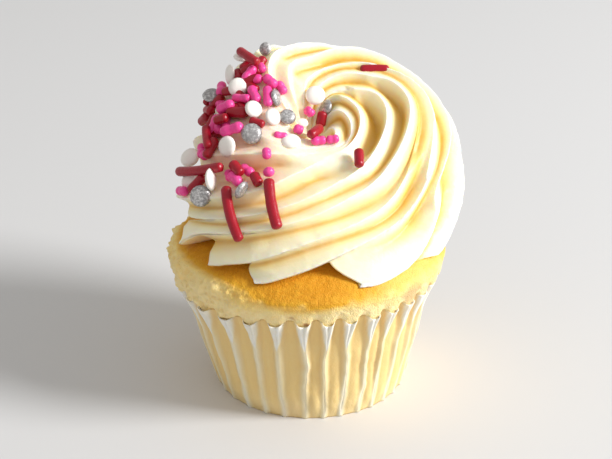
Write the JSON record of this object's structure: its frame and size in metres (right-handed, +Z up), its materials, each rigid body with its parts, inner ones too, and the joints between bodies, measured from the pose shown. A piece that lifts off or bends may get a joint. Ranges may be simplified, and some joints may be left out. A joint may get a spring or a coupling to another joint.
{
  "type": "cupcake",
  "caption": "Cupcake in a pleated paper case, topped with a tall piped swirl of buttercream and scattered sprinkles.",
  "frame": {"origin": "middle of the flat foot of the paper case, on the surface it stands on", "axes": "+Z up through the cake, -Y towards the front, where two pointed feet of the swirl start, +X to the right"},
  "size_m": [0.0766, 0.0715, 0.0848],
  "materials": {
    "paper": "thin, slightly greasy baking paper",
    "cake": null,
    "frosting": null,
    "red_sprinkle": null,
    "pink_sprinkle": null,
    "white_sprinkle": null,
    "silver_sprinkle": null
  },
  "bodies": {
    "root": {"paper_case": "paper", "cake": "cake", "frosting": "frosting"}
  },
  "joints": []
}
